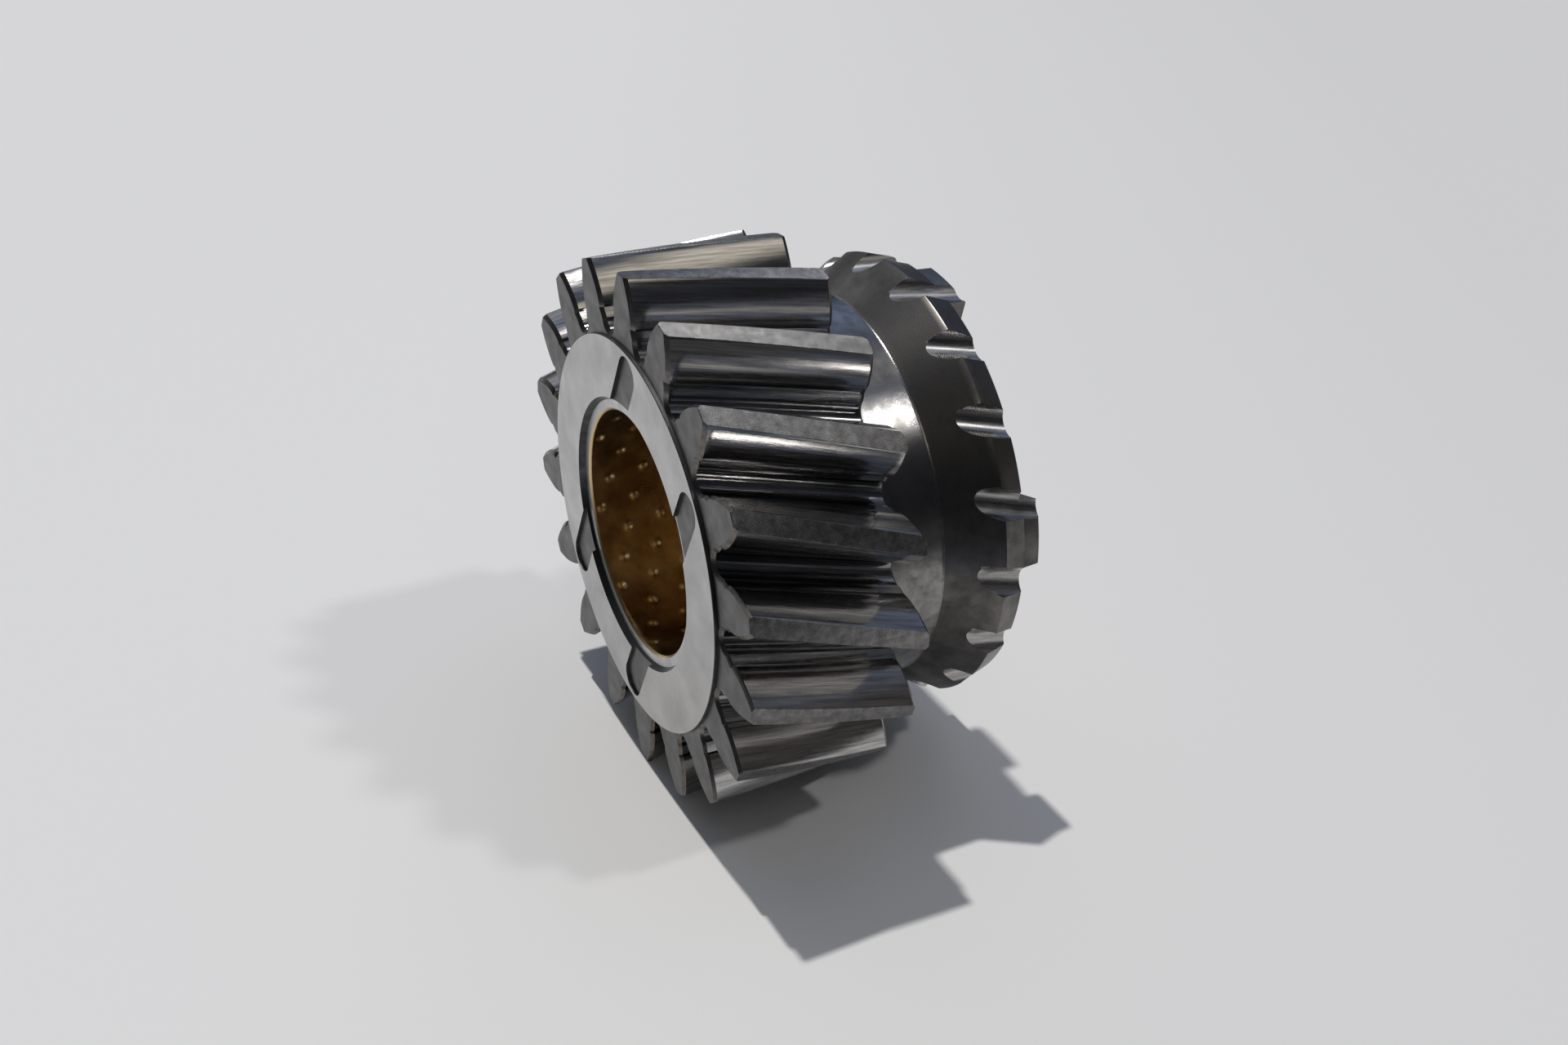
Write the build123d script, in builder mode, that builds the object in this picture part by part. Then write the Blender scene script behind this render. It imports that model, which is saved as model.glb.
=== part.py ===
"""Helical clutch gear: a helical toothing with a dog clutch ring on its back, and a pressed-in
bronze-lined bush.

The axis lies along +Y, with the thrust face and its oil slots towards -Y and the dog ring towards +Y.
The origin is on the axis, halfway along the bush.  All dimensions are in millimetres and degrees.
"""

import os
from math import acos, atan, cos, degrees, radians, sin, sqrt, tan

from build123d import *

# Toothing
TEETH = 18
NORMAL_MODULE = 5.25
HELIX_ANGLE = 18.4            # at the pitch circle, right hand
PRESSURE_ANGLE = 20.0         # in the normal section
TIP_RADIUS = 55.0
FORM_RADIUS = 46.2            # where the ground flank ends
ROOT_RADIUS = 41.4
ROOT_FILLET = 2.4
UNDERCUT_DEPTH = 0.28         # step below the ground flank, along the arc
UNDERCUT_DROP = 0.5           # radial height of that step
TOOTH_END_CHAMFER = 0.7
TOOTH_PHASE = 69.4            # angle of the first tooth at its front end
FLANK_SPANS = 3               # spans between the fitted points of an involute
TOOTH_SLABS = 2               # slabs that follow the helix, each true to it within 0.1

# Stations along the axis, counted from the thrust face
BOSS_HEIGHT = 0.75            # the thrust face stands proud of the tooth ends
FACE_WIDTH = 36.0
TOOTH_END = BOSS_HEIGHT + FACE_WIDTH
NECK_END = 48.1
RIM_START = 58.1
RING_END = 63.2
DOG_END = 66.8

# Turned radii
BOSS_RADIUS = 40.6
NECK_RADIUS = 40.2
NECK_FILLET = 1.2
RIM_FRONT_RADIUS = 46.8
RIM_BACK_RADIUS = 45.3
DOG_TIP_RADIUS = 44.9

# Dog ring
DOGS = 5
DOG_SPAN = 17.0
DOG_PHASE = 99.3              # middle of the first dog
DOG_INNER_RADIUS = 34.0
RUNOUT_RADIUS = 3.2           # round channels that carry on the tooth spaces through the ring
RUNOUT_FLOOR = 43.8

# Thrust face oil slots, a pair of parallel chords
SLOT_WIDTH = 7.5
SLOT_DEPTH = 0.7
SLOT_OFFSET = 15.7
SLOT_DIRECTION = 119.4
SLOT_END_RADIUS = 36.0        # from the axis to the centre of each rounded end

# Bore and bush
BORE_RADIUS = 27.25
BORE_CHAMFER = 0.75
BUSH_RECESS = 1.3             # the ends of the bush lie this far inside the faces
BUSH_BORE_RADIUS = 25.05
BUSH_CHAMFER = 0.45

EDGE_BREAK = 0.3
OVERRUN = 1.0                 # how far a cut passes the surface that it starts from

PITCH = 360 / TEETH
BUSH_LENGTH = RING_END - 2 * BUSH_RECESS
BUSH_MIDDLE = RING_END / 2

# Involute of the transverse section
PITCH_RADIUS = TEETH * NORMAL_MODULE / (2 * cos(radians(HELIX_ANGLE)))
TRANSVERSE_PRESSURE = atan(tan(radians(PRESSURE_ANGLE)) / cos(radians(HELIX_ANGLE)))
BASE_RADIUS = PITCH_RADIUS * cos(TRANSVERSE_PRESSURE)
TWIST_PER_MM = degrees(tan(radians(HELIX_ANGLE)) / PITCH_RADIUS)


def station(distance):
    """Plane across the axis, at a distance behind the thrust face, seen from the front."""
    return Plane(origin=(0, distance - BUSH_MIDDLE, 0), x_dir=(-1, 0, 0), z_dir=(0, 1, 0))


def polar(radius, angle):
    """Point of a station plane."""
    return (radius * cos(radians(angle)), radius * sin(radians(angle)))


def profile_point(distance, radius):
    """Point of the half section that is turned about the axis."""
    return (distance - BUSH_MIDDLE, radius)


def involute(angle):
    return tan(angle) - angle


def half_tooth(radius):
    """Half the angle that a tooth spans at a radius."""
    pressure = acos(min(1.0, BASE_RADIUS / radius))
    return 90 / TEETH + degrees(involute(TRANSVERSE_PRESSURE) - involute(pressure))


def flank(middle, side, inset):
    """Points of an involute flank, from the form circle out to the tip circle."""
    span = (TIP_RADIUS - FORM_RADIUS) / FLANK_SPANS
    radii = [FORM_RADIUS + span * n for n in range(FLANK_SPANS + 1)]
    return [polar(r, middle + side * (half_tooth(r) - degrees(inset / r))) for r in radii]


def tooth_outline(turn, inset):
    """Closed outline of the toothing, turned about the axis, with its gaps widened by the inset."""
    floor_radius = ROOT_RADIUS - inset
    fillet_radius = ROOT_FILLET + inset
    fillet_height = floor_radius + fillet_radius
    fillet_angle = degrees(fillet_radius / fillet_height)
    form_angle = half_tooth(FORM_RADIUS) - degrees(inset / FORM_RADIUS)
    step_radius = FORM_RADIUS - UNDERCUT_DROP
    step_angle = form_angle - degrees(UNDERCUT_DEPTH / FORM_RADIUS)
    for tooth in range(TEETH):
        middle = turn + tooth * PITCH
        gap = middle + PITCH / 2
        leading = Spline(flank(middle, -1, inset))
        trailing = Spline(flank(middle, 1, inset))
        ThreePointArc(leading @ 1, polar(TIP_RADIUS, middle), trailing @ 1)
        fillet_out = polar(fillet_height, gap - fillet_angle)
        fillet_in = polar(fillet_height, gap + fillet_angle)
        next_flank = polar(FORM_RADIUS, middle + PITCH - form_angle)
        Polyline(trailing @ 0, polar(step_radius, middle + step_angle), fillet_out)
        ThreePointArc(fillet_out, polar(floor_radius, gap), fillet_in)
        Polyline(fillet_in, polar(step_radius, middle + PITCH - step_angle), next_flank)


def tooth_section(distance, inset=0.0):
    """Transverse section of the toothing at a station."""
    turn = TOOTH_PHASE + TWIST_PER_MM * (distance - BOSS_HEIGHT)
    with BuildSketch(station(distance)) as section:
        with BuildLine():
            tooth_outline(turn, inset)
        make_face()
    return section.sketch


# Toothing: slabs ruled from section to section along the helix, with a bevelled slab at each end
bevel_start = BOSS_HEIGHT + TOOTH_END_CHAMFER
bevel_end = TOOTH_END - TOOTH_END_CHAMFER
slab = (bevel_end - bevel_start) / TOOTH_SLABS
front_section = tooth_section(BOSS_HEIGHT, TOOTH_END_CHAMFER)
middle_sections = [tooth_section(bevel_start + n * slab) for n in range(TOOTH_SLABS + 1)]
rear_section = tooth_section(TOOTH_END, TOOTH_END_CHAMFER)
with BuildPart() as toothing:
    add(loft([front_section, *middle_sections, rear_section], ruled=True))

# One round cutter, along the helix of the first tooth space, that carries it on through the dog ring
runout_station = (NECK_END + DOG_END) / 2
runout_angle = TOOTH_PHASE + PITCH / 2 + TWIST_PER_MM * (runout_station - BOSS_HEIGHT)
runout_axis_radius = RUNOUT_FLOOR + RUNOUT_RADIUS
runout_slope = runout_axis_radius * radians(TWIST_PER_MM)
across = cos(radians(runout_angle))
along = sin(radians(runout_angle))
runout_plane = Plane(
    origin=(-runout_axis_radius * across, runout_station - BUSH_MIDDLE, runout_axis_radius * along),
    z_dir=(runout_slope * along, 1, runout_slope * across),
)
with BuildPart() as runout_cutter:
    with BuildSketch(runout_plane):
        Circle(RUNOUT_RADIUS)
    extrude(amount=DOG_END - runout_station + 2 * OVERRUN, both=True)

# Gear: core, dog ring and toothing are one forging
with BuildPart() as gear:
    with BuildSketch(Plane.YZ):
        with BuildLine():
            Polyline(
                profile_point(0, 0),
                profile_point(0, BOSS_RADIUS - EDGE_BREAK),
                profile_point(EDGE_BREAK, BOSS_RADIUS),
                profile_point(TOOTH_END, BOSS_RADIUS),
                profile_point(TOOTH_END, NECK_RADIUS),
                profile_point(NECK_END, NECK_RADIUS),
                profile_point(RIM_START, RIM_FRONT_RADIUS),
                profile_point(RING_END, RIM_BACK_RADIUS),
                profile_point(DOG_END - EDGE_BREAK, DOG_TIP_RADIUS),
                profile_point(DOG_END, DOG_TIP_RADIUS - EDGE_BREAK),
                profile_point(DOG_END, 0),
                close=True,
            )
        make_face()
    revolve(axis=Axis.Y)
    neck_corner = gear.edges().filter_by(GeomType.CIRCLE).filter_by(
        lambda edge: abs(edge.center().Y + BUSH_MIDDLE - NECK_END) < EDGE_BREAK)
    fillet(neck_corner, NECK_FILLET)

    # Dogs are what is left of the ring between its radial gaps
    with BuildSketch(station(DOG_END)):
        Circle(RIM_FRONT_RADIUS + OVERRUN)
        for dog in range(DOGS):
            middle = DOG_PHASE + dog * 360 / DOGS
            corners = [
                polar(radius, middle + side * DOG_SPAN / 2)
                for radius, side in (
                    (DOG_INNER_RADIUS, -1),
                    (RIM_FRONT_RADIUS + 2 * OVERRUN, -1),
                    (RIM_FRONT_RADIUS + 2 * OVERRUN, 1),
                    (DOG_INNER_RADIUS, 1),
                )
            ]
            with BuildLine():
                Polyline(corners)
                ThreePointArc(corners[3], polar(DOG_INNER_RADIUS, middle), corners[0])
            make_face(mode=Mode.SUBTRACT)
    extrude(amount=RING_END - DOG_END, mode=Mode.SUBTRACT)
    for tooth in range(TEETH):
        add(runout_cutter.part.rotate(Axis.Y, -tooth * PITCH), mode=Mode.SUBTRACT)

    add(toothing.part)

    # Bore, chamfered down to the ends of the bush
    with BuildSketch(Plane.YZ):
        with BuildLine():
            Polyline(
                profile_point(-OVERRUN, 0),
                profile_point(-OVERRUN, BORE_RADIUS + BORE_CHAMFER),
                profile_point(0, BORE_RADIUS + BORE_CHAMFER),
                profile_point(BUSH_RECESS, BORE_RADIUS),
                profile_point(RING_END - BUSH_RECESS, BORE_RADIUS),
                profile_point(RING_END, BORE_RADIUS + BORE_CHAMFER),
                profile_point(RING_END + OVERRUN, BORE_RADIUS + BORE_CHAMFER),
                profile_point(RING_END + OVERRUN, 0),
                close=True,
            )
        make_face()
    revolve(axis=Axis.Y, mode=Mode.SUBTRACT)

    # Two parallel oil slots across the thrust face, one on each side of the bore
    half_length = sqrt(SLOT_END_RADIUS**2 - SLOT_OFFSET**2)
    with BuildSketch(station(0)):
        for side in (-1, 1):
            with Locations(polar(SLOT_OFFSET, SLOT_DIRECTION + side * 90)):
                SlotCenterToCenter(2 * half_length, SLOT_WIDTH, rotation=SLOT_DIRECTION)
    extrude(amount=SLOT_DEPTH, mode=Mode.SUBTRACT)

# Bush: a rolled strip of steel with a bronze lining, handled as one piece
with BuildPart() as bush:
    with BuildSketch(Plane.YZ):
        with BuildLine():
            Polyline(
                profile_point(BUSH_RECESS, BORE_RADIUS),
                profile_point(BUSH_RECESS, BUSH_BORE_RADIUS + BUSH_CHAMFER),
                profile_point(BUSH_RECESS + BUSH_CHAMFER, BUSH_BORE_RADIUS),
                profile_point(RING_END - BUSH_RECESS - BUSH_CHAMFER, BUSH_BORE_RADIUS),
                profile_point(RING_END - BUSH_RECESS, BUSH_BORE_RADIUS + BUSH_CHAMFER),
                profile_point(RING_END - BUSH_RECESS, BORE_RADIUS),
                close=True,
            )
        make_face()
    revolve(axis=Axis.Y)

os.makedirs("parts", exist_ok=True)
gear.part.label = "gear"
export_step(gear.part, "parts/gear.step")
bush.part.label = "bush"
export_step(bush.part, "parts/bush.step")
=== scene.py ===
"""Looks of the helical clutch gear: bright and dark steel with a bronze-lined bush, standing on its teeth."""
from math import acos, atan, cos, degrees, hypot, pi, radians, sin, sqrt, tan

import bmesh
import bpy
import numpy as np
from mathutils import Matrix, Vector


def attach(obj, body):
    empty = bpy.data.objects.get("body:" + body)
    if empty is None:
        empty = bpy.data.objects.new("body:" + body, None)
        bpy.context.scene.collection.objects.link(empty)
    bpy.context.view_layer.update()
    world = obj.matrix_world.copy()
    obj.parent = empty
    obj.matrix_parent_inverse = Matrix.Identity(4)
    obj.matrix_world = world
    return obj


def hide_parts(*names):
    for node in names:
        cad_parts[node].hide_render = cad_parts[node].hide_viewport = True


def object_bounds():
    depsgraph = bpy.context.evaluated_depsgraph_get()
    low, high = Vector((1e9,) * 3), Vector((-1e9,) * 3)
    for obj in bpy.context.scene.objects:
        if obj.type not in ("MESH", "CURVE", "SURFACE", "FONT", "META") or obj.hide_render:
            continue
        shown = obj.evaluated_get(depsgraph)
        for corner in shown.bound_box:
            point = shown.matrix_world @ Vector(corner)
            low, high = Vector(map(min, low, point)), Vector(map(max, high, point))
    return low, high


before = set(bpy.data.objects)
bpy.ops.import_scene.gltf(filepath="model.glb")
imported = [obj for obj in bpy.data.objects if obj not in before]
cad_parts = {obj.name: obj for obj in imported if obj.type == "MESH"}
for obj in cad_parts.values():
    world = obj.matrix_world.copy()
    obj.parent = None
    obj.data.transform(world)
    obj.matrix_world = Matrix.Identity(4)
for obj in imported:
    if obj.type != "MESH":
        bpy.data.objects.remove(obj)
MM = 0.001                    # millimetres to the frame's metres


def as_lists(box):
    return [[float(v) for v in corner] for corner in box]


cad_size = as_lists(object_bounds())
scene = bpy.context.scene
scene.view_settings.view_transform = "Standard"

# Sizes in millimetres and degrees, as in the part
TEETH = 18
NORMAL_MODULE = 5.25
HELIX_ANGLE = 18.4
PRESSURE_ANGLE = 20.0
TIP_RADIUS = 55.0
FORM_RADIUS = 46.2
ROOT_RADIUS = 41.4
ROOT_FILLET = 2.4
UNDERCUT_DEPTH = 0.3
UNDERCUT_DROP = 0.5
END_BEVEL = 0.7
TOOTH_PHASE = 69.4
BOSS_HEIGHT = 0.75
TOOTH_END = 36.75
NECK_END = 48.1
RIM_START = 58.1
RING_END = 63.2
DOG_END = 66.8
BOSS_RADIUS = 40.6
NECK_RADIUS = 40.2
NECK_FILLET = 1.2
RIM_FRONT_RADIUS = 46.8
RIM_BACK_RADIUS = 45.3
DOG_TIP_RADIUS = 44.9
DOGS = 5
DOG_SPAN = 17.0
DOG_PHASE = 99.3
DOG_INNER_RADIUS = 34.0
RUNOUT_RADIUS = 3.2
RUNOUT_FLOOR = 43.8
SLOT_WIDTH = 7.5
SLOT_DEPTH = 0.7
SLOT_OFFSET = 15.7
SLOT_DIRECTION = 119.4
SLOT_END_RADIUS = 36.0
BORE_RADIUS = 27.25
BORE_CHAMFER = 0.75
BUSH_RECESS = 1.3
BUSH_BORE_RADIUS = 25.05
BUSH_CHAMFER = 0.45
LINING_RADIUS = 25.5          # where the bronze lining meets the steel back
WEB_RADIUS = 33.0             # inside the hub's wall, where the toothing's mesh ends
EDGE = 0.12                   # small round left on the crisp edges
DIMPLE_PITCH = 2.56           # between the rows of oil dimples, along the axis
DIMPLE_SHIFT = 14.2           # turn from one row to the next
DIMPLE_STEP = 40.0            # between the dimples of a row
DIMPLE_START = (3.1, 24.2)    # station and angle of one dimple
DIMPLE_RADIUS = 1.05
DIMPLE_DEPTH = 0.38

# How finely the meshes are made
TOOTH_ROWS = 36
HUB_SEGMENTS = 360
BUSH_SEGMENTS = 420
BUSH_ROWS = 150

PITCH = 360 / TEETH
MIDDLE = RING_END / 2
PITCH_RADIUS = TEETH * NORMAL_MODULE / (2 * cos(radians(HELIX_ANGLE)))
TRANSVERSE = atan(tan(radians(PRESSURE_ANGLE)) / cos(radians(HELIX_ANGLE)))
BASE_RADIUS = PITCH_RADIUS * cos(TRANSVERSE)
TWIST = degrees(tan(radians(HELIX_ANGLE)) / PITCH_RADIUS)


def place(station, radius, angle):
    """Point of the frame, in metres, from a station behind the thrust face, a radius and an angle."""
    turn = radians(angle)
    return Vector((-radius * cos(turn), station - MIDDLE, radius * sin(turn))) * MM


def new_object(name, mesh):
    made = bpy.data.objects.new(name, mesh)
    scene.collection.objects.link(made)
    return made


def grid_solid(name, rows, wrap):
    """Closed mesh from loops of points, which close into a ring or end in caps."""
    count = len(rows[0])
    points = [p for row in rows for p in row]
    faces = []
    last = len(rows) if wrap else len(rows) - 1
    for i in range(last):
        below, above = i * count, ((i + 1) % len(rows)) * count
        for j in range(count):
            k = (j + 1) % count
            faces.append((below + j, below + k, above + k, above + j))
    if not wrap:
        faces.append(tuple(range(count))[::-1])
        faces.append(tuple(range((len(rows) - 1) * count, len(rows) * count)))
    mesh = bpy.data.meshes.new(name)
    mesh.from_pydata(points, [], faces)
    work = bmesh.new()
    work.from_mesh(mesh)
    bmesh.ops.remove_doubles(work, verts=work.verts, dist=1e-7)
    bmesh.ops.recalc_face_normals(work, faces=work.faces)
    work.to_mesh(mesh)
    work.free()
    return new_object(name, mesh)


def combine(base, other, operation):
    """Boolean of two closed meshes, kept in the first."""
    cut = base.modifiers.new("cut", "BOOLEAN")
    cut.operation = operation
    cut.solver = "MANIFOLD"
    cut.object = other
    view = bpy.context.evaluated_depsgraph_get()
    mesh = bpy.data.meshes.new_from_object(base.evaluated_get(view))
    base.modifiers.clear()
    base.data = mesh
    bpy.data.objects.remove(other)


def involute(angle):
    return tan(angle) - angle


def half_tooth(radius):
    pressure = acos(min(1.0, BASE_RADIUS / radius))
    return 90 / TEETH + degrees(involute(TRANSVERSE) - involute(pressure))


def half_profile(inset, tip_drop):
    """(radius, angle from the middle of the tooth) from the bottom of the gap up to the tip."""
    floor_radius = ROOT_RADIUS - inset
    fillet = ROOT_FILLET + inset
    height = floor_radius + fillet
    points = []
    for n in range(10):
        swing = radians(10 * n)
        radial, sideways = height - fillet * cos(swing), fillet * sin(swing)
        points.append((hypot(radial, sideways), PITCH / 2 - degrees(atan(sideways / radial))))
    form = half_tooth(FORM_RADIUS) - degrees(inset / FORM_RADIUS)
    step = (FORM_RADIUS - UNDERCUT_DROP, form - degrees(UNDERCUT_DEPTH / FORM_RADIUS))
    top = points[-1]
    for n in range(1, 4):
        points.append(tuple(a + (b - a) * n / 3 for a, b in zip(top, step)))
    tip = TIP_RADIUS - tip_drop
    span = tip - EDGE - FORM_RADIUS
    for n in range(15):
        radius = FORM_RADIUS + span * n / 14
        points.append((radius, half_tooth(radius) - degrees(inset / radius)))
    edge = points[-1][1] - degrees(EDGE / tip)
    points += [(tip, edge), (tip, edge / 3)]
    return points


def tooth_row(station, inset, tip_drop):
    """Loop of the toothing's outline at a station."""
    half = half_profile(inset, tip_drop)
    turn = TOOTH_PHASE + TWIST * (station - BOSS_HEIGHT)
    row = []
    for tooth in range(TEETH):
        middle = turn + tooth * PITCH
        row += [place(station, r, middle - a) for r, a in half]
        row += [place(station, r, middle + a) for r, a in half[:0:-1]]
    return row


def make_toothing():
    ends = ((0.0, END_BEVEL, EDGE), (EDGE, END_BEVEL - EDGE, 0.0), (END_BEVEL, 0.0, 0.0))
    rows = [tooth_row(BOSS_HEIGHT + s, i, d) for s, i, d in ends]
    start, end = BOSS_HEIGHT + END_BEVEL, TOOTH_END - END_BEVEL
    rows += [tooth_row(start + (end - start) * n / TOOTH_ROWS, 0.0, 0.0) for n in range(1, TOOTH_ROWS + 1)]
    rows += [tooth_row(TOOTH_END - s, i, d) for s, i, d in ends[-2::-1]]
    toothing = grid_solid("toothing", rows, wrap=False)
    circle = [[place(s, WEB_RADIUS, 4 * n) for n in range(90)] for s in (0, TOOTH_END + 1)]
    combine(toothing, grid_solid("web", circle, wrap=False), "DIFFERENCE")
    return toothing


def turned(name, profile, segments):
    """Solid of revolution about the gear's axis, from a closed profile of (station, radius)."""
    rows = [[place(s, r, 360 * n / segments) for n in range(segments)] for s, r in profile]
    return grid_solid(name, rows, wrap=True)


def spread(start, end, count):
    """Points from a start up to, and without, an end."""
    return [tuple(a + (b - a) * n / count for a, b in zip(start, end)) for n in range(count)]


def neck_corner():
    """Fillet where the neck runs up into the cone."""
    slope = atan((RIM_FRONT_RADIUS - NECK_RADIUS) / (RIM_START - NECK_END))
    reach = NECK_FILLET * tan(slope / 2)
    centre = (NECK_END - reach, NECK_RADIUS + NECK_FILLET)
    return [
        (centre[0] + NECK_FILLET * sin(slope * n / 6), centre[1] - NECK_FILLET * cos(slope * n / 6))
        for n in range(7)
    ]


def make_core():
    corner = neck_corner()
    profile = [(0, BORE_RADIUS + BORE_CHAMFER), (0, BOSS_RADIUS - EDGE), (EDGE, BOSS_RADIUS)]
    profile += spread((3, BOSS_RADIUS), (TOOTH_END - 1, BOSS_RADIUS), 3)
    profile += spread((TOOTH_END - 1, NECK_RADIUS), corner[0], 6) + corner[:-1]
    rim = (RIM_START - EDGE, RIM_FRONT_RADIUS - EDGE)
    profile += spread(corner[-1], rim, 10) + [rim, (RIM_START + EDGE, RIM_FRONT_RADIUS - EDGE / 3)]
    back = (RING_END - EDGE, RIM_BACK_RADIUS)
    profile += spread((RIM_START + 2 * EDGE, RIM_FRONT_RADIUS - EDGE / 2), back, 4)
    profile += [back, (RING_END, RIM_BACK_RADIUS - EDGE), (RING_END, DOG_INNER_RADIUS)]
    profile += [(RING_END, BORE_RADIUS + BORE_CHAMFER), (RING_END - BUSH_RECESS, BORE_RADIUS)]
    profile += [(BUSH_RECESS, BORE_RADIUS)]
    return turned("gear_dressed", profile, HUB_SEGMENTS)


def make_dog(middle):
    """One dog as a block of the ring, standing on the ring's back."""
    depths = (
        (RING_END - 1, RIM_BACK_RADIUS - EDGE),
        (RING_END, RIM_BACK_RADIUS - EDGE),
        (DOG_END - 2.5 * EDGE, DOG_TIP_RADIUS),
        (DOG_END, DOG_TIP_RADIUS - 2.5 * EDGE),
    )
    rows = []
    for station, outer in depths:
        angles = [middle + DOG_SPAN * (n / 16 - 0.5) for n in range(17)]
        row = [place(station, outer, a) for a in angles]
        rows.append(row + [place(station, DOG_INNER_RADIUS, a) for a in angles[::-1]])
    return grid_solid("dog", rows, wrap=False)


def runout_axis(tooth):
    """Middle and direction of the round channel that carries a tooth space on through the ring."""
    station = (NECK_END + DOG_END) / 2
    turn = radians(TOOTH_PHASE + PITCH / 2 + TWIST * (station - BOSS_HEIGHT) - tooth * PITCH)
    radius = RUNOUT_FLOOR + RUNOUT_RADIUS
    slope = radius * radians(TWIST)
    centre = place(station, radius, degrees(turn))
    return centre, Vector((slope * sin(turn), 1, slope * cos(turn))).normalized()


def make_runout(tooth):
    centre, along = runout_axis(tooth)
    side = along.cross(Vector((centre.x, 0, centre.z)).normalized()).normalized()
    out = side.cross(along)
    rows = []
    for reach in (-12.5, 12.5):
        row = []
        for n in range(64):
            turn = 2 * pi * n / 64
            spoke = side * cos(turn) + out * sin(turn)
            row.append(centre + (along * reach + spoke * RUNOUT_RADIUS) * MM)
        rows.append(row)
    return grid_solid("runout", rows, wrap=False)


def make_slot(side):
    """Cutter of one oil slot: a stadium along a chord of the thrust face."""
    half = sqrt(SLOT_END_RADIUS**2 - SLOT_OFFSET**2)
    turn = radians(SLOT_DIRECTION)
    along, across = (cos(turn), sin(turn)), (-sin(turn), cos(turn))
    rows = []
    for station in (-1.0, SLOT_DEPTH):
        row = []
        for end in (1, -1):
            for n in range(25):
                swing = radians(-90 + 180 * n / 24)
                u = end * (half + SLOT_WIDTH / 2 * cos(swing))
                v = side * SLOT_OFFSET + end * SLOT_WIDTH / 2 * sin(swing)
                x, z = (u * along[k] + v * across[k] for k in (0, 1))
                row.append(Vector((-x, station - MIDDLE, z)) * MM)
        rows.append(row)
    return grid_solid("slot", rows, wrap=False)


def make_gear():
    gear = make_core()
    for dog in range(DOGS):
        combine(gear, make_dog(DOG_PHASE + dog * 360 / DOGS), "UNION")
    for tooth in range(TEETH):
        combine(gear, make_runout(tooth), "DIFFERENCE")
    combine(gear, make_toothing(), "UNION")
    for side in (-1, 1):
        combine(gear, make_slot(side), "DIFFERENCE")
    return gear


def make_bush():
    near, far = BUSH_RECESS, RING_END - BUSH_RECESS
    profile = [(near, BORE_RADIUS), (near, LINING_RADIUS)]
    profile.append((near + EDGE, BUSH_BORE_RADIUS + BUSH_CHAMFER - EDGE))
    start = (near + BUSH_CHAMFER, BUSH_BORE_RADIUS)
    end = (far - BUSH_CHAMFER, BUSH_BORE_RADIUS)
    profile += spread(start, end, BUSH_ROWS) + [end]
    profile += [(far, LINING_RADIUS), (far, BORE_RADIUS)]
    bush = turned("bush_dressed", profile, BUSH_SEGMENTS)
    points = np.empty(len(bush.data.vertices) * 3)
    bush.data.vertices.foreach_get("co", points)
    points = points.reshape(-1, 3) / MM
    station = points[:, 1] + MIDDLE
    radius = np.hypot(points[:, 0], points[:, 2])
    angle = np.degrees(np.arctan2(points[:, 2], -points[:, 0]))
    inner = (radius < BUSH_BORE_RADIUS + 0.01) & (station > near + 1) & (station < far - 1)
    sunk = np.zeros(len(points))
    row = 0
    while DIMPLE_START[0] + row * DIMPLE_PITCH < far - 1.5:
        along = station - DIMPLE_START[0] - row * DIMPLE_PITCH
        turn = angle - DIMPLE_START[1] - row * DIMPLE_SHIFT
        around = np.radians((turn + DIMPLE_STEP / 2) % DIMPLE_STEP - DIMPLE_STEP / 2) * BUSH_BORE_RADIUS
        away = (along**2 + around**2) / DIMPLE_RADIUS**2
        sunk = np.maximum(sunk, np.clip(1 - away, 0, 1) * DIMPLE_DEPTH)
        row += 1
    scale = np.where(inner, 1 + sunk / radius, 1.0)
    points[:, 0] *= scale
    points[:, 2] *= scale
    bush.data.vertices.foreach_set("co", (points * MM).ravel())
    return bush


# Materials
class Nodes:
    """Short hand for building a node tree."""

    def __init__(self, tree):
        self.tree = tree

    def add(self, kind, **values):
        node = self.tree.nodes.new(kind)
        for key, value in values.items():
            if key in node.inputs:
                self.feed(node.inputs[key], value)
            else:
                setattr(node, key, value)
        return node

    def feed(self, socket, value):
        if isinstance(value, bpy.types.NodeSocket):
            self.tree.links.new(value, socket)
        else:
            socket.default_value = value

    def math(self, operation, a, b=0.0, c=0.0):
        node = self.tree.nodes.new("ShaderNodeMath")
        node.operation = operation
        for socket, value in zip(node.inputs, (a, b, c)):
            self.feed(socket, value)
        return node.outputs[0]

    def vector(self, x, y, z):
        node = self.tree.nodes.new("ShaderNodeCombineXYZ")
        for socket, value in zip(node.inputs, (x, y, z)):
            self.feed(socket, value)
        return node.outputs[0]

    def noise(self, vector, scale, detail=3.0, roughness=0.55):
        node = self.add("ShaderNodeTexNoise", Scale=scale, Detail=detail, Roughness=roughness)
        self.tree.links.new(vector, node.inputs["Vector"])
        return node.outputs[0]

    def span(self, value, low, high, to_low, to_high):
        node = self.tree.nodes.new("ShaderNodeMapRange")
        for socket, item in zip(node.inputs, (value, low, high, to_low, to_high)):
            self.feed(socket, item)
        return node.outputs[0]

    def blend(self, factor, a, b):
        node = self.tree.nodes.new("ShaderNodeMix")
        node.data_type = "RGBA"
        self.feed(node.inputs[0], factor)
        self.feed(node.inputs[6], a)
        self.feed(node.inputs[7], b)
        return node.outputs[2]


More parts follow.
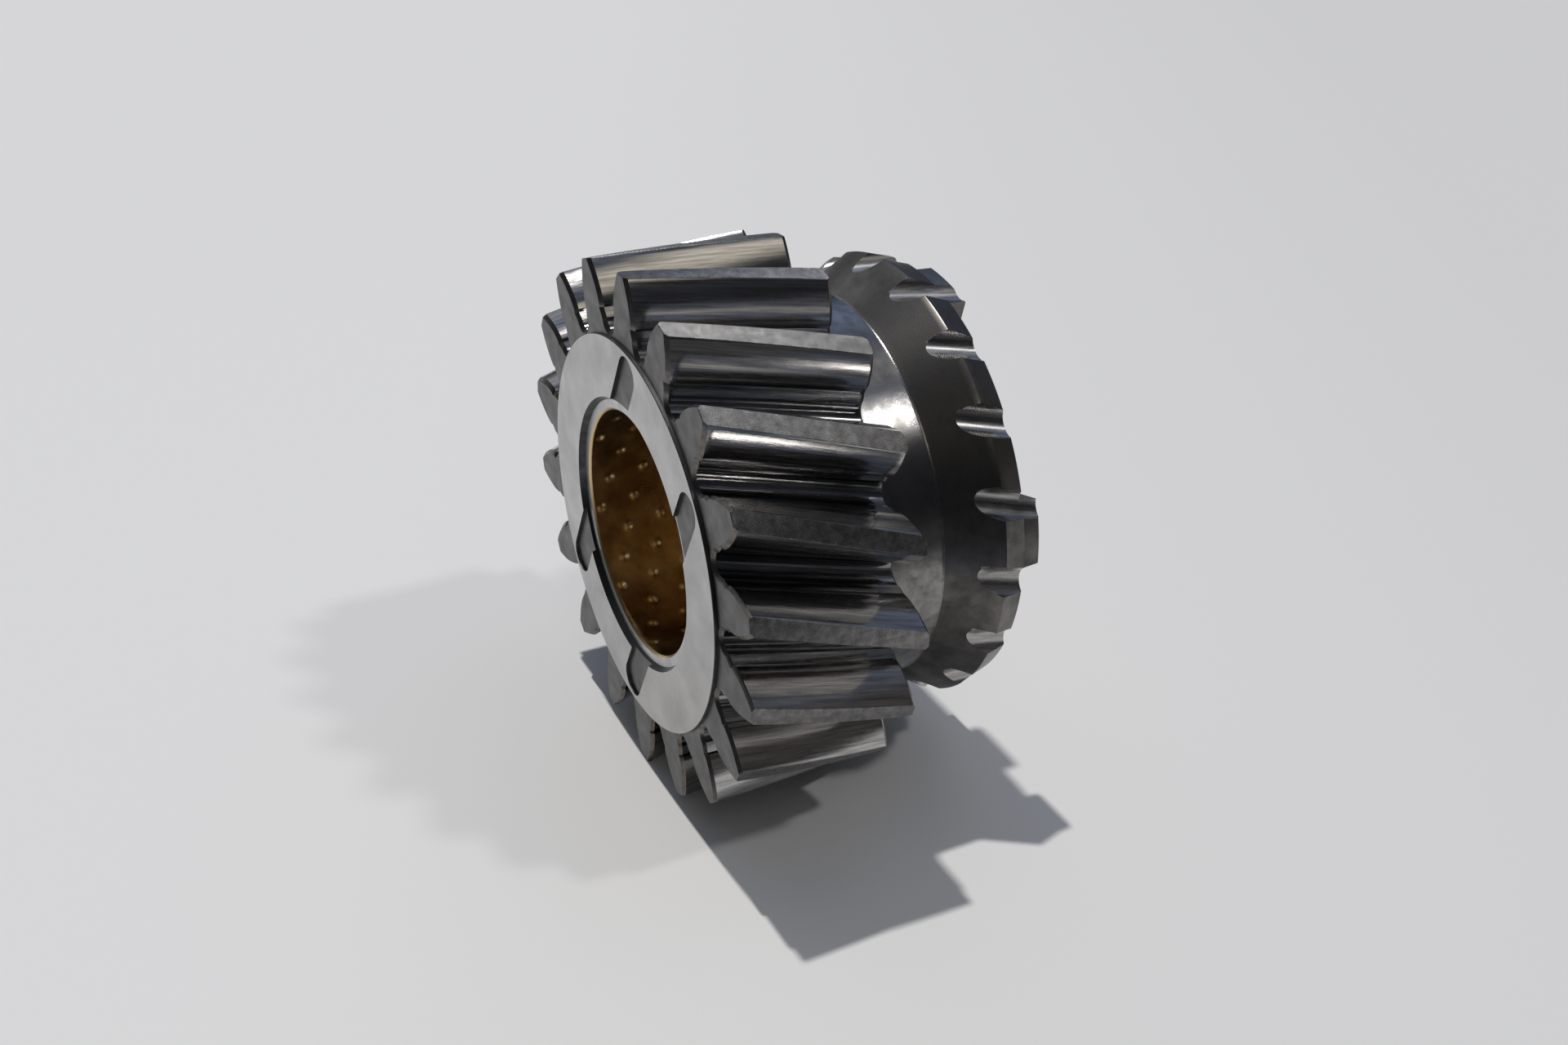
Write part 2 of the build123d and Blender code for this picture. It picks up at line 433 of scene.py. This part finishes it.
def gear_space(nodes):
    """Radius, angle and distance along the axis of a surface point, in millimetres and radians."""
    split = nodes.add("ShaderNodeSeparateXYZ")
    nodes.tree.links.new(nodes.add("ShaderNodeTexCoord").outputs["Object"], split.inputs[0])
    x = nodes.math("MULTIPLY", split.outputs[0], -1 / MM)
    y = nodes.math("MULTIPLY", split.outputs[1], 1 / MM)
    z = nodes.math("MULTIPLY", split.outputs[2], 1 / MM)
    radius = nodes.math("SQRT", nodes.math("ADD", nodes.math("MULTIPLY", x, x), nodes.math("MULTIPLY", z, z)))
    return radius, nodes.math("ARCTAN2", z, x), y


def start_material(name):
    """New metal with the helper for its node tree and its shader."""
    material = bpy.data.materials.new(name)
    material.use_nodes = True
    nodes = Nodes(material.node_tree)
    shader = material.node_tree.nodes["Principled BSDF"]
    shader.inputs["Metallic"].default_value = 1.0
    return material, nodes, shader


def finish_material(nodes, shader, colour, roughness, height, distance):
    """Joins a material's parts; distance is how deep, in millimetres, the height's whole range goes."""
    nodes.feed(shader.inputs["Base Color"], colour)
    nodes.feed(shader.inputs["Roughness"], roughness)
    bump = nodes.add("ShaderNodeBump", Strength=1.0, Distance=distance * MM)
    nodes.feed(bump.inputs["Height"], height)
    nodes.tree.links.new(bump.outputs[0], shader.inputs["Normal"])


def mottled(name, dark, light, scale, rough, height):
    """Satin metal with cloudy tone, changing gloss and a fine grain."""
    material, nodes, shader = start_material(name)
    where = nodes.add("ShaderNodeVectorMath", operation="SCALE", Scale=1 / MM)
    nodes.tree.links.new(nodes.add("ShaderNodeTexCoord").outputs["Object"], where.inputs[0])
    where = where.outputs[0]
    cloud = nodes.noise(where, scale, 4.0, 0.6)
    grain = nodes.noise(where, scale * 14, 2.0, 0.6)
    tone = nodes.span(cloud, 0.3, 0.7, 0.0, 1.0)
    colour = nodes.blend(tone, dark, light)
    gloss = nodes.span(cloud, 0.3, 0.7, rough[1], rough[0])
    finish_material(nodes, shader, colour, gloss, grain, height)
    return material


def streaked(name, dark, light, rough, height):
    """Ground steel with streaks that run along the helix."""
    material, nodes, shader = start_material(name)
    radius, angle, along = gear_space(nodes)
    helix = nodes.math("SUBTRACT", angle, nodes.math("MULTIPLY", along, radians(TWIST)))
    arc = nodes.math("MULTIPLY", helix, PITCH_RADIUS)
    long = nodes.vector(radius, nodes.math("MULTIPLY", arc, 0.35), nodes.math("MULTIPLY", along, 0.045))
    streak = nodes.noise(long, 1.7, 5.0, 0.65)
    fine = nodes.noise(long, 9.0, 2.0, 0.5)
    tone = nodes.span(streak, 0.32, 0.68, 0.0, 1.0)
    colour = nodes.blend(tone, dark, light)
    gloss = nodes.span(fine, 0.3, 0.7, rough[0], rough[1])
    relief = nodes.math("ADD", streak, nodes.math("MULTIPLY", fine, 0.35))
    finish_material(nodes, shader, colour, gloss, relief, height)
    return material


def hatched(name, dark, light, rough, height):
    """Tip lands with the fine crossed lay of the turning tool."""
    material, nodes, shader = start_material(name)
    _, angle, along = gear_space(nodes)
    around = nodes.math("MULTIPLY", angle, TIP_RADIUS)
    waves = []
    for slope, period in ((0.55, 0.5), (-1.1, 0.6)):
        phase = nodes.math("ADD", along, nodes.math("MULTIPLY", around, slope))
        waves.append(nodes.math("SINE", nodes.math("MULTIPLY", phase, 2 * pi / period)))
    lay = nodes.math("MULTIPLY", waves[0], waves[1])
    where = nodes.vector(around, along, 0.0)
    cloud = nodes.noise(where, 0.5, 4.0, 0.6)
    speck = nodes.noise(where, 6.0, 2.0, 0.6)
    tone = nodes.math("ADD", nodes.span(cloud, 0.3, 0.7, 0.0, 0.6), nodes.math("MULTIPLY", lay, 0.3))
    colour = nodes.blend(tone, dark, light)
    gloss = nodes.span(speck, 0.3, 0.7, rough[0], rough[1])
    relief = nodes.math("ADD", nodes.math("MULTIPLY", lay, 0.5), speck)
    finish_material(nodes, shader, colour, gloss, relief, height)
    return material


def grey(value, warm=0.0):
    """Grey colour, made a little warmer or cooler."""
    return (value * (1 + warm), value, value * (1 - warm), 1.0)


STEELS = {
    "thrust": mottled("thrust", grey(0.42, 0.01), grey(0.55, 0.02), 0.12, (0.28, 0.36), 0.003),
    "slot_floor": mottled("slot_floor", grey(0.1), grey(0.15), 0.3, (0.35, 0.45), 0.006),
    "tooth_end": mottled("tooth_end", grey(0.075, 0.02), grey(0.11, 0.03), 0.25, (0.34, 0.45), 0.006),
    "bevel": mottled("bevel", grey(0.1, 0.08), grey(0.2, 0.1), 0.6, (0.3, 0.42), 0.008),
    "flank": streaked("flank", grey(0.26, 0.02), grey(0.6, 0.03), (0.1, 0.2), 0.008),
    "root": streaked("root", grey(0.12, -0.03), grey(0.42, 0.02), (0.1, 0.22), 0.008),
    "tip": hatched("tip", grey(0.12, 0.03), grey(0.42, 0.03), (0.24, 0.36), 0.035),
    "ring": mottled("ring", grey(0.08, 0.05), grey(0.17, 0.07), 0.2, (0.28, 0.4), 0.012),
    "neck": mottled("neck", grey(0.14, 0.03), grey(0.3, 0.04), 0.35, (0.16, 0.26), 0.02),
    "runout": streaked("runout", grey(0.2, 0.0), grey(0.5, 0.04), (0.2, 0.32), 0.012),
    # painted shade: the bore's chamfer and the mouth wall in front of the recessed bush are coloured near black,
    # standing in for the shade inside the bore
    "bore_edge_painted_shade": mottled("bore_edge_painted_shade", grey(0.04), grey(0.08), 0.4, (0.25, 0.35), 0.004),
    "back": mottled("back", grey(0.2, 0.02), grey(0.3, 0.03), 0.2, (0.32, 0.44), 0.006),
}


def region(centre, normal, channels):
    """Name of the finish of a face, from where it lies. Margins are in millimetres."""
    point = centre / MM
    station = point.y + MIDDLE
    radius = hypot(point.x, point.z)
    flat = abs(normal.y) > 0.9
    if station < 0.02:
        return "thrust"
    mouth = station < BUSH_RECESS + 0.1 or station > RING_END - BUSH_RECESS - 0.1
    if mouth and radius < BORE_RADIUS + BORE_CHAMFER + 0.05:
        return "slot_floor" if flat else "bore_edge_painted_shade"
    if station < BOSS_HEIGHT + 0.01 and radius < BOSS_RADIUS + 0.01:
        return "slot_floor"
    if station < TOOTH_END + 0.02:
        if flat and (station < BOSS_HEIGHT + 0.02 or station > TOOTH_END - 0.02):
            return "tooth_end"
        if radius > TIP_RADIUS - EDGE * 1.5:
            return "tip"
        if station < BOSS_HEIGHT + END_BEVEL or station > TOOTH_END - END_BEVEL:
            return "bevel"
        return "flank" if radius > FORM_RADIUS - 0.1 else "root"
    if radius < NECK_RADIUS + NECK_FILLET and station < NECK_END + 0.3:
        return "neck"
    for middle, along in channels:
        offset = centre - middle
        away = (offset - along * offset.dot(along)).length / MM
        if abs(away - RUNOUT_RADIUS) < 0.06 and radius > RUNOUT_FLOOR - 0.6 and not flat:
            return "runout"
    if station > RING_END - 0.05 and flat:
        return "back"
    return "ring"


def dress_gear(gear):
    names = list(STEELS)
    gear.data.materials.clear()
    for name in names:
        gear.data.materials.append(STEELS[name])
    channels = [runout_axis(tooth) for tooth in range(TEETH)]
    for face in gear.data.polygons:
        face.use_smooth = True
        face.material_index = names.index(region(face.center, face.normal, channels))
    gear.data.set_sharp_from_angle(angle=radians(24))
    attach(gear, "root")
    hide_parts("gear")


def bronze_material():
    material, nodes, shader = start_material("bronze")
    radius, angle, along = gear_space(nodes)
    around = nodes.math("MULTIPLY", angle, BUSH_BORE_RADIUS)
    where = nodes.vector(around, along, 0.0)
    cloud = nodes.noise(where, 0.12, 4.0, 0.6)
    lay = nodes.noise(nodes.vector(nodes.math("MULTIPLY", around, 0.05), along, 0.0), 5.0, 3.0, 0.6)
    colour = nodes.blend(nodes.span(cloud, 0.3, 0.7, 0.0, 1.0), (0.27, 0.18, 0.085, 1), (0.66, 0.47, 0.23, 1))
    floor_tone = nodes.span(radius, BUSH_BORE_RADIUS + 0.03, BUSH_BORE_RADIUS + 0.25, 0.0, 1.0)
    colour = nodes.blend(floor_tone, colour, (0.72, 0.55, 0.3, 1))
    gloss = nodes.span(cloud, 0.3, 0.7, 0.26, 0.36)
    finish_material(nodes, shader, colour, gloss, lay, 0.004)
    return material


def dress_bush(bush):
    bush.data.materials.clear()
    bush.data.materials.append(bronze_material())
    bush.data.materials.append(mottled("bush_back", grey(0.5), grey(0.62), 0.3, (0.3, 0.4), 0.004))
    for face in bush.data.polygons:
        face.use_smooth = True
        radius = hypot(face.center.x, face.center.z) / MM
        face.material_index = 1 if radius > LINING_RADIUS else 0
    bush.data.set_sharp_from_angle(angle=radians(30))
    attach(bush, "root")
    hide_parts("bush")


dress_gear(make_gear())
dress_bush(make_bush())

# Camera
VIEW = Vector((-0.7745, 0.3829, -0.5036)).normalized()
RIGHT = Vector((0.4432, 0.8964, 0.0)).normalized()
EYE = Vector((0.2923, -0.1420, 0.1842))
lens = bpy.data.cameras.new("camera")
lens.sensor_width = 36.0
lens.lens = 41.876
camera = new_object("camera", lens)
up = RIGHT.cross(VIEW)
camera.matrix_world = Matrix.Translation(EYE) @ Matrix((RIGHT, up, -VIEW)).transposed().to_4x4()
scene.camera = camera


def aim(name, towards, energy, spread_angle, colour):
    """A far lamp whose light comes from a direction."""
    lamp = bpy.data.lights.new(name, "SUN")
    lamp.energy = energy
    lamp.angle = radians(spread_angle)
    lamp.color = colour
    made = new_object(name, lamp)
    made.rotation_euler = Vector(towards).to_track_quat("Z", "Y").to_euler()
    return made


aim("ceiling_lamp", (-0.25, -0.04, 1.0), 1.86, 1.6, (1.0, 0.975, 0.935))
aim("side_lamp", (0.5, 0.57, 1.0), 0.42, 4.0, (1.0, 0.99, 0.97))


def glow(nodes, direction, towards, inner, outer, colour):
    """A soft patch of the surroundings that shows in the metal."""
    target = Vector(towards).normalized()
    dot = nodes.tree.nodes.new("ShaderNodeVectorMath")
    dot.operation = "DOT_PRODUCT"
    nodes.tree.links.new(direction, dot.inputs[0])
    dot.inputs[1].default_value = target
    share = nodes.span(dot.outputs["Value"], cos(radians(outer)), cos(radians(inner)), 0.0, 1.0)
    return nodes.blend(share, (0, 0, 0, 1), colour)


def make_world():
    world = bpy.data.worlds.new("studio")
    scene.world = world
    world.use_nodes = True
    tree = world.node_tree
    nodes = Nodes(tree)
    where = tree.nodes.new("ShaderNodeTexCoord").outputs["Generated"]
    split = tree.nodes.new("ShaderNodeSeparateXYZ")
    tree.links.new(where, split.inputs[0])
    rise = nodes.span(split.outputs[2], -0.1, 0.9, 0.0, 1.0)
    total = nodes.blend(rise, (0.02, 0.021, 0.025, 1), (0.045, 0.05, 0.06, 1))
    for towards, inner, outer, colour in (
        ((-0.9, -0.15, 0.42), 4, 26, (0.42, 0.42, 0.43, 1)),
        ((0.62, -0.24, 0.75), 5, 17, (0.85, 0.79, 0.68, 1)),
        ((-0.7, 0.45, 0.5), 4, 20, (0.2, 0.27, 0.42, 1)),
        ((-0.3, 0.3, 0.9), 8, 60, (0.14, 0.175, 0.26, 1)),
        ((-0.08, 0.33, 0.94), 3, 12, (0.8, 0.75, 0.65, 1)),
        ((0.4, 0.87, 0.25), 5, 30, (0.045, 0.038, 0.031, 1)),
    ):
        patch = glow(nodes, where, towards, inner, outer, colour)
        sum_node = tree.nodes.new("ShaderNodeVectorMath")
        sum_node.operation = "ADD"
        tree.links.new(total, sum_node.inputs[0])
        tree.links.new(patch, sum_node.inputs[1])
        total = sum_node.outputs[0]
    tree.links.new(total, tree.nodes["Background"].inputs[0])


def make_floor():
    """Pale table top, a little darker towards the right as painted shade, with painted reflections past its near
    edge: a dark ground with a blue patch, which the camera doesn't see but the metal reflects.
    """
    bpy.ops.mesh.primitive_plane_add(size=6, location=(0, 0, cad_size[0][2]))
    floor = bpy.context.object
    floor.name = "floor"
    material = bpy.data.materials.new("floor")
    material.use_nodes = True
    tree = material.node_tree
    nodes = Nodes(tree)
    shader = tree.nodes["Principled BSDF"]
    shader.inputs["Roughness"].default_value = 0.9
    split = tree.nodes.new("ShaderNodeSeparateXYZ")
    tree.links.new(tree.nodes.new("ShaderNodeTexCoord").outputs["Object"], split.inputs[0])
    x, y = split.outputs[0], split.outputs[1]
    across = nodes.math("ADD", nodes.math("MULTIPLY", x, RIGHT.x), nodes.math("MULTIPLY", y, RIGHT.y))
    # painted shade: the floor colour runs from 0.8 on the left to 0.71 on the right, standing in for the light
    # falling off across the table
    pale_with_painted_shade = nodes.blend(nodes.span(across, -0.1, 0.25, 0.0, 1.0), (0.8, 0.8, 0.8, 1), (0.71, 0.71, 0.71, 1))
    nearness = nodes.math("SUBTRACT", nodes.math("MULTIPLY", x, RIGHT.y), nodes.math("MULTIPLY", y, RIGHT.x))
    edge = nodes.span(nearness, 0.1, 0.13, 0.0, 1.0)
    # painted reflection: past the near edge the floor is coloured dark, with a blue patch where y is low, so
    # that the metal reflects dark and blue there
    painted_reflection = nodes.blend(nodes.span(y, -0.03, 0.03, 0.0, 1.0), (0.12, 0.155, 0.23, 1), (0.065, 0.067, 0.072, 1))
    painted_reflection = nodes.blend(nodes.span(nearness, 0.16, 0.24, 0.0, 1.0), painted_reflection, (0.06, 0.061, 0.065, 1))
    tree.links.new(nodes.blend(edge, pale_with_painted_shade, painted_reflection), shader.inputs["Base Color"])
    floor.data.materials.append(material)


make_world()
make_floor()
